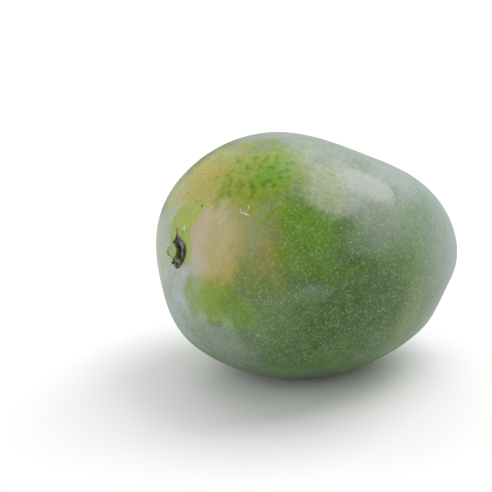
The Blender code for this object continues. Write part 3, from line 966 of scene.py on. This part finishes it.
Ring = namedtuple("Ring", "share height ribbed rough")  # share of the radius, and of the height
SIDE_RINGS = [Ring(0.5, 0.0, 0.0, 0.0), Ring(0.9, 0.02, 0.3, 0.0)]
for part in np.arange(1, 14) / 14:  # the side is waisted
    SIDE_RINGS.append(Ring(1.0 - 0.06 * math.sin(math.pi * part), part, 1.0, 0.2))
RIM_RINGS = [Ring(0.985, 0.985, 0.9, 0.3), Ring(0.95, 1.0, 0.8, 0.4), Ring(0.9, 0.995, 0.6, 0.6)]
FACE_RINGS = []
for part in np.arange(16) / 16:  # the face is dished
    FACE_RINGS.append(Ring(0.86 * (1 - part), 0.985 - 0.03 * math.sin(math.pi * part), 0.2, 1.0))


# %% Work out the points of a ring
def stub_outline(steps):
    """The outline's radius at equal turns, in stub radii: a smooth curve through the corners."""
    curve = np.array(smooth_path(STUB_CORNERS, 8 * steps, closed=True))
    turns = np.arctan2(curve[:, 0], curve[:, 1]) % (2 * math.pi)
    order = np.argsort(turns)
    wanted = np.arange(steps) * 2 * math.pi / steps
    radii = np.hypot(*curve.T)[order] * MM / STUB_RADIUS
    return np.interp(wanted, turns[order], radii, period=2 * math.pi)


def stub_point(ring, angle, reach):
    wander = RIB_WANDER * math.sin(3 * angle)
    rib = RIB_HEIGHT * ring.ribbed * math.sin(RIBS * angle + wander)
    seat = Vector((LUMP_CIRCLE * math.cos(angle), LUMP_CIRCLE * math.sin(angle), LUMP_LEVEL))
    lump = LUMP_HEIGHT * noise.noise(seat)
    radius = STUB_RADIUS * ring.share * reach + (rib + lump) * min(1.0, 2 * ring.share)
    slanted = -SLANT * radius * math.cos(angle - SLANT_LOW_SIDE) * ring.height**2
    rise = (peg_length - CUT_BELOW_PEG) * ring.height + slanted
    spot = stub_foot + round_stem(angle) * radius + stub_way * rise
    grain = noise.noise(spot / COARSE_GRAIN) + 0.5 * noise.noise(spot / FINE_GRAIN)
    return spot + stub_way * (FACE_ROUGHNESS * ring.rough * grain)


# %% Turn rows of points into a piece
def piece_from(shape, name, materials):
    """Turns a bmesh into an object with these materials, its faces outward and smooth."""
    bmesh.ops.recalc_face_normals(shape, faces=shape.faces)
    for face in shape.faces:
        face.smooth = True
    mesh = bpy.data.meshes.new(name)
    shape.to_mesh(mesh)
    shape.free()
    for material in materials:
        mesh.materials.append(material)
    piece = bpy.data.objects.new(name, mesh)
    bpy.context.scene.collection.objects.link(piece)
    print(f"{name}: {len(mesh.vertices)} points, {len(mesh.polygons)} faces")
    return piece


def close_rows(shape, rows, closed=False):
    """Joins rows of points with faces, and caps both ends or joins them."""
    pairs = list(zip(rows, rows[1:])) + ([(rows[-1], rows[0])] if closed else [])
    faces = []
    for row, following in pairs:
        for number in range(len(row)):
            after = (number + 1) % len(row)
            sides = (row[number], row[after], following[after], following[number])
            faces.append(shape.faces.new(sides))
    if not closed:
        faces += [shape.faces.new(rows[0]), shape.faces.new(rows[-1])]
    return faces


# %% [markdown]
# The stalk's bark is green and waxy and streaked along its strands, and it is painted nearly black
# towards its foot: painted shade, where it goes down into the crust. The cut face is wet wood that
# has dried: pale grey-green in the middle, where the strands end, and yellow-green under the bark.

# %% A dry material, and the way to measure places on the stub
def dry_material(name, roughness, gloss):
    """A material for bark, wood, cork or dried sap."""
    surface = {"Roughness": roughness, "IOR": PLANT_IOR, "Specular IOR Level": gloss}
    return new_material(name, surface)


def on_stub(tree):
    """The shader's place on the stub, in stub radii: X up and Y across the cut, Z out of it."""
    axes = Matrix((upward, stub_way.cross(upward), stub_way)).transposed()
    return add_node(
        tree,
        "ShaderNodeMapping",
        {
            "Vector": add_node(tree, "ShaderNodeTexCoord").outputs["Object"],
            "Location": stub_foot + stub_way * peg_length,
            "Rotation": axes.to_euler(),
            "Scale": (STUB_RADIUS,) * 3,
        },
        vector_type="TEXTURE",
    )


# %% Bark: green, streaked along the stalk, and painted dark as shade where it goes down into the crust
bark, tree, shader = dry_material("green_stalk_bark", 0.5, 0.3)
place = on_stub(tree)
drawn = add_node(tree, "ShaderNodeVectorMath", {0: place, 1: (1, 1, 0.15)}, operation="MULTIPLY")
shade = mottle(tree, drawn, "#345016", "#5a8230", 0.3, 2.0, 0.3, 0.7)
# The bark darkens to near black towards its foot: painted shade, where the stub goes down into the
# crust.
height = add_node(tree, "ShaderNodeSeparateXYZ", {0: place}).outputs["Z"]
foot_shade_depths = {"Value": height, "From Min": -0.6, "From Max": -1.05}
deep = add_node(tree, "ShaderNodeMapRange", foot_shade_depths, interpolation_type="SMOOTHSTEP")
tones = {0: deep, 6: shade, 7: colour("#10160a")}
shade = add_node(tree, "ShaderNodeMix", tones, data_type="RGBA")
fill(tree, shader, {"Base Color": shade})

# %% Wood: pale fibres across the cut, then a yellow-green band, then the bark's dark edge
wood, tree, shader = dry_material("cut_stalk_wood", 0.65, 0.3)
flat = add_node(
    tree, "ShaderNodeVectorMath", {0: on_stub(tree), 1: (1, 1, 0)}, operation="MULTIPLY"
)
from_pith = add_node(tree, "ShaderNodeVectorMath", {0: flat}, operation="LENGTH").outputs["Value"]
turned = {"Vector": flat, "Rotation": (0, 0, math.radians(40)), "Scale": (3.2, 1.0, 1.0)}
drawn = add_node(tree, "ShaderNodeMapping", turned)
fibres = smudges(tree, drawn, 0.3, 4.0, 0.4, 0.6, rough=0.65)
tones = {0: fibres, 6: colour("#8e9468"), 7: colour("#bcbf9c")}
shade = add_node(tree, "ShaderNodeMix", tones, data_type="RGBA")
wavering = waves(tree, flat, 0.7, 2.0, 0.14)
reach = add_node(tree, "ShaderNodeMath", {0: from_pith, 1: wavering}, operation="ADD")
for start, end, paint in ((0.58, 0.92, "#8fa850"), (0.9, 1.02, "#5f7a34")):
    limits = {"Value": reach, "From Min": start, "From Max": end}
    band = add_node(tree, "ShaderNodeMapRange", limits, interpolation_type="SMOOTHSTEP")
    tones = {0: band, 6: shade, 7: colour(paint)}
    shade = add_node(tree, "ShaderNodeMix", tones, data_type="RGBA")
bump = add_node(tree, "ShaderNodeBump", {"Height": fibres, "Distance": 0.06 * MM})
fill(tree, shader, {"Base Color": shade, "Normal": bump})

# %% Build the stub, with bark up its side and wood from its rim inwards
def make_stub(bark, wood):
    shape = bmesh.new()
    turns = [2 * math.pi * step / STUB_STEPS for step in range(STUB_STEPS)]
    reaches = stub_outline(STUB_STEPS)
    rows = []
    for ring in SIDE_RINGS + RIM_RINGS + FACE_RINGS:
        points = [stub_point(ring, *turn_and_reach) for turn_and_reach in zip(turns, reaches)]
        rows.append([shape.verts.new(point) for point in points])
    cut_from = STUB_STEPS * (len(SIDE_RINGS) + 1)  # the faces from the rim inwards are cut wood
    faces = close_rows(shape, rows)
    for number, face in enumerate(faces):
        face.material_index = int(number >= cut_from)
    bottom_cap = faces[-2]
    bottom_cap.material_index = 0
    return piece_from(shape, "cut_stem_stub", (bark, wood))


stub = make_stub(bark, wood)
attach(stub, "root")
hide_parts("stem_stub")

# %% [markdown]
# ## The sap crust
#
# Dried sap has no shape of its own. It lies as a lumpy roll where it welled up, thick on one side,
# with a thin floor inside it. It thins out to tongues where it ran, and hangs in lumps below. A
# ridge that follows a path along the skin makes all of that, and the scars further on: the path's
# stops say how wide and how high it is, its underside is sunk into the skin, and noise makes it
# lumpy.

# %% Lay a ridge along a path on the skin
SECTION = 16  # points round a ridge
LEAST_WIDTH = 0.04 * MM
LEAST_HEIGHT = 0.01 * MM
FULL_LUMPS_FROM = 1.5 * MM  # narrower ridges have smaller lumps
FINE_LUMPS = 2.6  # how many fine lumps there are to a coarse one
SIDEWAYS_LUMPS = 0.8  # how far the lumps stand out sideways, for each millimetre upwards


def add_ridge(shape, stops, count, lump_height, lump_size, closed=False, sunk=0.2 * MM):
    """Adds a lumpy ridge to a bmesh. A stop is a place near the skin, a width and a height."""
    path = smooth_path(stops, count, closed)
    rows = []
    for number, stop in enumerate(path):
        point, out, _, _ = skin_faces.find_nearest(Vector(stop[:3]))
        before = path[number - 1 if closed or number else 0]
        after = path[(number + 1) % count if closed else min(number + 1, count - 1)]
        forward = Vector(after[:3] - before[:3]).normalized()
        sidelong = out.cross(forward).normalized()
        width, height = max(stop[3], LEAST_WIDTH), max(stop[4], LEAST_HEIGHT)
        row = []
        for step in range(SECTION):
            angle = 2 * math.pi * step / SECTION
            rise = math.sin(angle)
            spot = point + sidelong * (math.cos(angle) * width / 2)
            fine = noise.noise(spot * FINE_LUMPS / lump_size)
            lump = noise.noise(spot / lump_size) + 0.5 * fine
            lump *= lump_height * min(1.0, width / FULL_LUMPS_FROM)
            spot += out * ((height + lump) * rise if rise > 0 else sunk * rise)
            spot += sidelong * (math.cos(angle) * lump * SIDEWAYS_LUMPS)
            row.append(shape.verts.new(spot))
        rows.append(row)
    close_rows(shape, rows, closed)


# %% The crust: a thick roll, a thin floor inside it, and tongues and lumps
Stop = namedtuple("Stop", "over up width height")  # millimetres across and up from the stem
ROLL_STOPS = (
    Stop(-0.3, 5.2, 1.5, 0.8),
    Stop(-2.6, 5.1, 1.9, 1.0),
    Stop(-4.2, 4.0, 2.2, 1.1),
    Stop(-4.7, 2.0, 2.3, 1.15),
    Stop(-4.3, -0.2, 2.0, 1.0),
    Stop(-3.4, -2.2, 1.3, 0.6),
    Stop(-1.4, -3.4, 1.2, 0.4),
    Stop(1.3, -3.5, 1.1, 0.4),
    Stop(3.4, -2.6, 1.0, 0.45),
    Stop(4.5, -0.2, 0.7, 0.3),
    Stop(4.7, 2.2, 0.7, 0.3),
    Stop(4.3, 4.0, 1.2, 0.5),
    Stop(2.2, 4.8, 1.5, 0.7),
)
# The floor follows the roll, but closer to the stub.
FLOOR_STOPS = [Stop(s.over * 0.76 + 0.2, s.up * 0.7 + 0.15, 2.2, 0.3) for s in ROLL_STOPS]
TONGUES = (  # they ran up the skin
    (
        *(Stop(2.9, 4.6, 1.6, 0.7), Stop(2.9, 6.2, 0.9, 0.5)),
        *(Stop(3.2, 7.8, 0.5, 0.25), Stop(3.9, 10.0, 0.25, 0.06)),
    ),
    (Stop(0.4, 5.2, 1.5, 0.6), Stop(0.1, 6.3, 0.9, 0.35), Stop(-0.1, 7.4, 0.3, 0.06)),
    (Stop(1.6, 5.2, 1.4, 0.3), Stop(1.6, 6.4, 0.8, 0.12), Stop(1.9, 7.4, 0.3, 0.03)),
)
LUMPS = (  # three lie below the stub, one on the roll's side and one on its top
    (Stop(-2.0, -3.3, 1.0, 0.5), Stop(-1.0, -4.3, 1.5, 0.9), Stop(0.2, -4.6, 0.8, 0.4)),
    (Stop(1.4, -3.9, 0.8, 0.4), Stop(2.6, -4.2, 1.2, 0.6), Stop(3.8, -4.3, 0.7, 0.3)),
    (Stop(-3.2, -2.6, 0.8, 0.4), Stop(-2.5, -3.6, 1.1, 0.6), Stop(-2.0, -4.3, 0.6, 0.3)),
    (Stop(-3.1, 0.2, 1.0, 0.8), Stop(-3.6, -0.7, 1.7, 1.2), Stop(-3.8, -1.8, 1.0, 0.7)),
    (Stop(-0.2, 5.2, 1.0, 0.7), Stop(-1.0, 5.6, 1.7, 1.1), Stop(-1.9, 5.3, 1.0, 0.8)),
)


def in_metres(stops):
    return [(*by_stem(stop.over, stop.up), stop.width * MM, stop.height * MM) for stop in stops]


crust_shape = bmesh.new()
add_ridge(crust_shape, in_metres(ROLL_STOPS), 260, 0.36 * MM, 0.9 * MM, closed=True)
add_ridge(crust_shape, in_metres(FLOOR_STOPS), 160, 0.12 * MM, 0.7 * MM, closed=True)
for stops in TONGUES + LUMPS:
    add_ridge(crust_shape, in_metres(stops), 48, 0.2 * MM, 0.7 * MM)

# %% [markdown]
# Dried mango sap is like burnt varnish: nearly black and glossy where it is thick, and reddish brown
# where it is thin. The lavender-grey along its crest and on one knob is a painted highlight, for the
# shine on the sap. Its material mixes the dark tones by noise a millimetre in size, and its surface
# is bumped as if crazed. The painted crest highlight and the paler dry floor are patches, laid like
# those of the peel.

# %% The sap's material
SAP_PATCHES = (
    # The crest and the knob are painted lavender-grey: painted highlights for the shine on the sap.
    Patch("crazed crest", 1.8, 262, 6.5, 2.6, 8, 0.5, 0.6, 0.85, "#8d8492"),
    Patch("crazed knob", 4.4, 235, 2.6, 2.6, 0, 0.5, 0.6, 0.8, "#7a7582"),
    Patch("gold-brown crumbs", 4.6, 100, 3.0, 1.6, 60, 0.5, 0.8, 0.7, "#6b5324"),
    Patch("dry floor", 5.5, 126, 5.4, 2.4, -77, 0.5, 0.8, 0.85, "#928a6c"),
)
sap, tree, shader = dry_material("dried_mango_sap", 0.42, 0.5)
place = add_node(tree, "ShaderNodeTexCoord").outputs["Object"]
shade = mottle(tree, place, "#221a1c", "#543e3c", 1.2 * MM, 4.0, 0.4, 0.62, rough=0.6)
frayed_by = waves(tree, place, 1.0 * MM, 3.0, 0.5)
shade = lay_patches(tree, place, frayed_by, shade, SAP_PATCHES)
crazed = waves(tree, place, 0.5 * MM, 3.0, 0.5, rough=0.7)
bump = add_node(tree, "ShaderNodeBump", {"Height": crazed, "Distance": 0.12 * MM})
fill(tree, shader, {"Base Color": shade, "Normal": bump})
crust = piece_from(crust_shape, "sap_crust", (sap,))
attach(crust, "root")
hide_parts("sap_ring")

# %% [markdown]
# Bits of the crust have broken off and stuck to it. They repeat, so Geometry Nodes scatter them:
# small balls, made lumpy by noise, turned and sized at random, thickest on the low side of the
# crust where they fell.

# %% Scatter the crumbs
CRUMB_SIZES = {
    "Crust": crust,
    "Spacing": 0.5 * MM,
    "Crowd": 4e6,
    "Smallest": 0.12 * MM,
    "Largest": 0.42 * MM,
    "Low Side": tuple(by_stem(-1.5, -5.0)),
    "Reach": 5.5 * MM,
    "Lumpiness": 0.35 * MM,
    "Seed": 3,
}
LUMP_SIZE = 0.35 * MM


def crumb_tree(material):
    tree, given = new_geometry_tree("crumbs", CRUMB_SIZES)
    ground = add_node(tree, "GeometryNodeObjectInfo", {"Object": given["Crust"]})
    here = add_node(tree, "GeometryNodeInputPosition")
    away = add_node(
        tree, "ShaderNodeVectorMath", {0: here, 1: given["Low Side"]}, operation="DISTANCE"
    )
    fades = {"Value": away.outputs["Value"], "From Min": given["Reach"], "From Max": 0.0}
    scattered = {
        "Mesh": ground.outputs["Geometry"],
        "Distance Min": given["Spacing"],
        "Density Max": given["Crowd"],
        "Density Factor": add_node(tree, "ShaderNodeMapRange", fades),
        "Seed": given["Seed"],
    }
    points = add_node(
        tree, "GeometryNodeDistributePointsOnFaces", scattered, distribute_method="POISSON"
    ).outputs
    ball = add_node(tree, "GeometryNodeMeshIcoSphere", {"Radius": 1.0, "Subdivisions": 2})
    turns = {"Max": (2 * math.pi,) * 3, "Seed": given["Seed"]}
    turned = add_node(tree, "FunctionNodeRandomValue", turns, data_type="FLOAT_VECTOR")
    limits = {2: given["Smallest"], 3: given["Largest"], "Seed": given["Seed"]}
    size = add_node(tree, "FunctionNodeRandomValue", limits, data_type="FLOAT")
    placed = {"Points": points["Points"], "Instance": ball, "Rotation": turned, "Scale": size}
    balls = add_node(tree, "GeometryNodeInstanceOnPoints", placed)
    real = add_node(tree, "GeometryNodeRealizeInstances", {"Geometry": balls})
    rumple = add_node(
        tree, "ShaderNodeTexNoise", {"Vector": here, "Scale": 1 / LUMP_SIZE, "Detail": 1.0}
    ).outputs["Color"]
    push = add_node(tree, "ShaderNodeVectorMath", {0: rumple, 1: (-0.5,) * 3}, operation="ADD")
    shove = add_node(
        tree, "ShaderNodeVectorMath", {0: push, "Scale": given["Lumpiness"]}, operation="SCALE"
    )
    lumpy = add_node(tree, "GeometryNodeSetPosition", {"Geometry": real, "Offset": shove})
    finish_tree(tree, lumpy, material)
    return tree


# %% The crumbs' material: broken sap, dull, and browner than the crust's face
crumbled_sap, tree, shader = dry_material("crumbled_mango_sap", 0.6, 0.4)
place = add_node(tree, "ShaderNodeTexCoord").outputs["Object"]
shade = mottle(tree, place, "#2c1c1a", "#7c6450", 1.6 * MM, 3.0, 0.42, 0.6)
fill(tree, shader, {"Base Color": shade})
crumbs = grow("sap_crumbs", crumb_tree(crumbled_sap), CRUMB_SIZES)
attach(crumbs, "root")

# %% [markdown]
# ## Scars
#
# A growing mango rubs against its twig, and each graze heals as a thin line of pale cork. This one
# has a small forked scar on its shoulder and two faint scratches on the blush. They stand up from
# the skin, so they are ridges too, thin ones that taper at both ends.

# %% Lay the scars
Scar = namedtuple("Scar", "places width height")  # places are lat and lon, the rest millimetres
FORKED_SCARS = (
    Scar(((32.7, 312.2), (32.3, 314.6), (33.0, 316.0), (34.6, 318.6), (34.8, 320.2)), 0.85, 0.14),
    Scar(((33.9, 316.4), (34.9, 315.8), (35.8, 314.1), (35.6, 311.9)), 0.6, 0.1),
)
SCRATCHES = (
    Scar(((22.2, 315.6), (23.4, 314.2), (25.4, 312.2)), 1.0, 0.04),
    Scar(((24.4, 314.6), (26.8, 311.4), (29.0, 309.8)), 0.55, 0.03),
)


END_SIZE = 0.35  # a scar's size at its ends, as a share of its size in the middle


def scar_piece(name, scars, cork_name, dark, pale):
    shape = bmesh.new()
    for scar in scars:
        stops = []
        for number, (lat, lon) in enumerate(scar.places):
            arch = math.sin(math.pi * (number + 0.5) / len(scar.places))
            swell = END_SIZE + (1 - END_SIZE) * arch
            sizes = (scar.width * swell * MM, scar.height * swell * MM)
            stops.append((*on_skin(lat, lon)[0], *sizes))
        add_ridge(shape, stops, 36, 0.1 * MM, 0.5 * MM, sunk=0.08 * MM)
    cork, tree, shader = dry_material(cork_name, 0.6, 0.3)
    place = add_node(tree, "ShaderNodeTexCoord").outputs["Object"]
    shade = mottle(tree, place, dark, pale, 0.9 * MM, 3.0, 0.4, 0.6)
    fill(tree, shader, {"Base Color": shade})
    piece = piece_from(shape, name, (cork,))
    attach(piece, "root")


scar_piece("forked_scar", FORKED_SCARS, "healed_cork", "#969a62", "#c6c0ac")
scar_piece("scratch_scars", SCRATCHES, "thin_healed_cork", "#b4a988", "#c2b8a2")

# %% [markdown]
# ## Camera, light and table
#
# The camera looks a little down on the fruit, past its stem end, through a long lens that keeps its
# shape true.

# %% The camera
CAMERA_DISTANCE = 620 * MM
LENS = 112.0
azimuth, elevation = math.radians(-31.6), math.radians(22.0)
turn, tilt = math.radians(2.33), math.radians(0.36)  # they set the fruit off the view's middle
level_way = Vector((math.sin(azimuth), -math.cos(azimuth), 0))
way_to_camera = level_way * math.cos(elevation) + Vector((0, 0, 1)) * math.sin(elevation)
camera = bpy.data.objects.new("camera", bpy.data.cameras.new("camera"))
camera.data.lens = LENS
camera.location = middle + CAMERA_DISTANCE * way_to_camera
facing = Euler((math.radians(90) - elevation, 0, azimuth)).to_matrix()
swing = Euler((tilt, 0, 0)).to_matrix() @ Euler((0, turn, 0)).to_matrix()
camera.rotation_euler = (facing @ swing).to_euler()
bpy.context.scene.collection.objects.link(camera)
bpy.context.scene.camera = camera
print("camera in mm:", [round(1000 * side) for side in camera.location])

# %% [markdown]
# A tall softbox stands to the right and gives the upper cheek its soft shine, which the polished
# spot's painted highlight brightens. A weaker one behind lights the far rim, a third on the left
# keeps the stem end from going dark, and the white room fills the rest. Colours are shown as they
# are, with no film look.

# %% Light
Lamp = namedtuple("Lamp", "name place wide tall watts")
LAMPS = (
    Lamp("softbox_right", (0.6, 0.05, 0.85), 0.75, 1.0, 7.5),
    Lamp("softbox_back", (0.0, 0.8, 0.9), 1.2, 0.6, 3.5),
    Lamp("softbox_left", (-0.9, -0.2, 0.6), 0.7, 0.7, 2.0),
)
for lamp in LAMPS:
    light = bpy.data.lights.new(lamp.name, "AREA")
    light.shape = "RECTANGLE"
    light.size = lamp.wide
    light.size_y = lamp.tall
    light.energy = lamp.watts
    softbox = bpy.data.objects.new(lamp.name, light)
    softbox.location = lamp.place
    softbox.rotation_euler = (middle - Vector(lamp.place)).to_track_quat("-Z", "Y").to_euler()
    bpy.context.scene.collection.objects.link(softbox)
    print(lamp.name, "gives", lamp.watts, "W")
world = bpy.data.worlds.new("studio")
world.use_nodes = True
white_room = {"Color": (1, 1, 1, 1), "Strength": 0.62}
fill(world.node_tree, world.node_tree.nodes["Background"], white_room)
bpy.context.scene.world = world
bpy.context.scene.view_settings.view_transform = "Standard"

# %% The table: a sheet of matt white card, 6 m wide, so that its edge is far away
SHEET_HALF = 3.0
sheet = [(-1, -1, 0), (1, -1, 0), (1, 1, 0), (-1, 1, 0)]
table_mesh = bpy.data.meshes.new("table")
table_mesh.from_pydata([Vector(corner) * SHEET_HALF for corner in sheet], [], [(0, 1, 2, 3)])
table = bpy.data.objects.new("table", table_mesh)
card, *_ = new_material("matt_white_card", {"Base Color": colour("#f0f0f0"), "Roughness": 0.9})
table_mesh.materials.append(card)
bpy.context.scene.collection.objects.link(table)
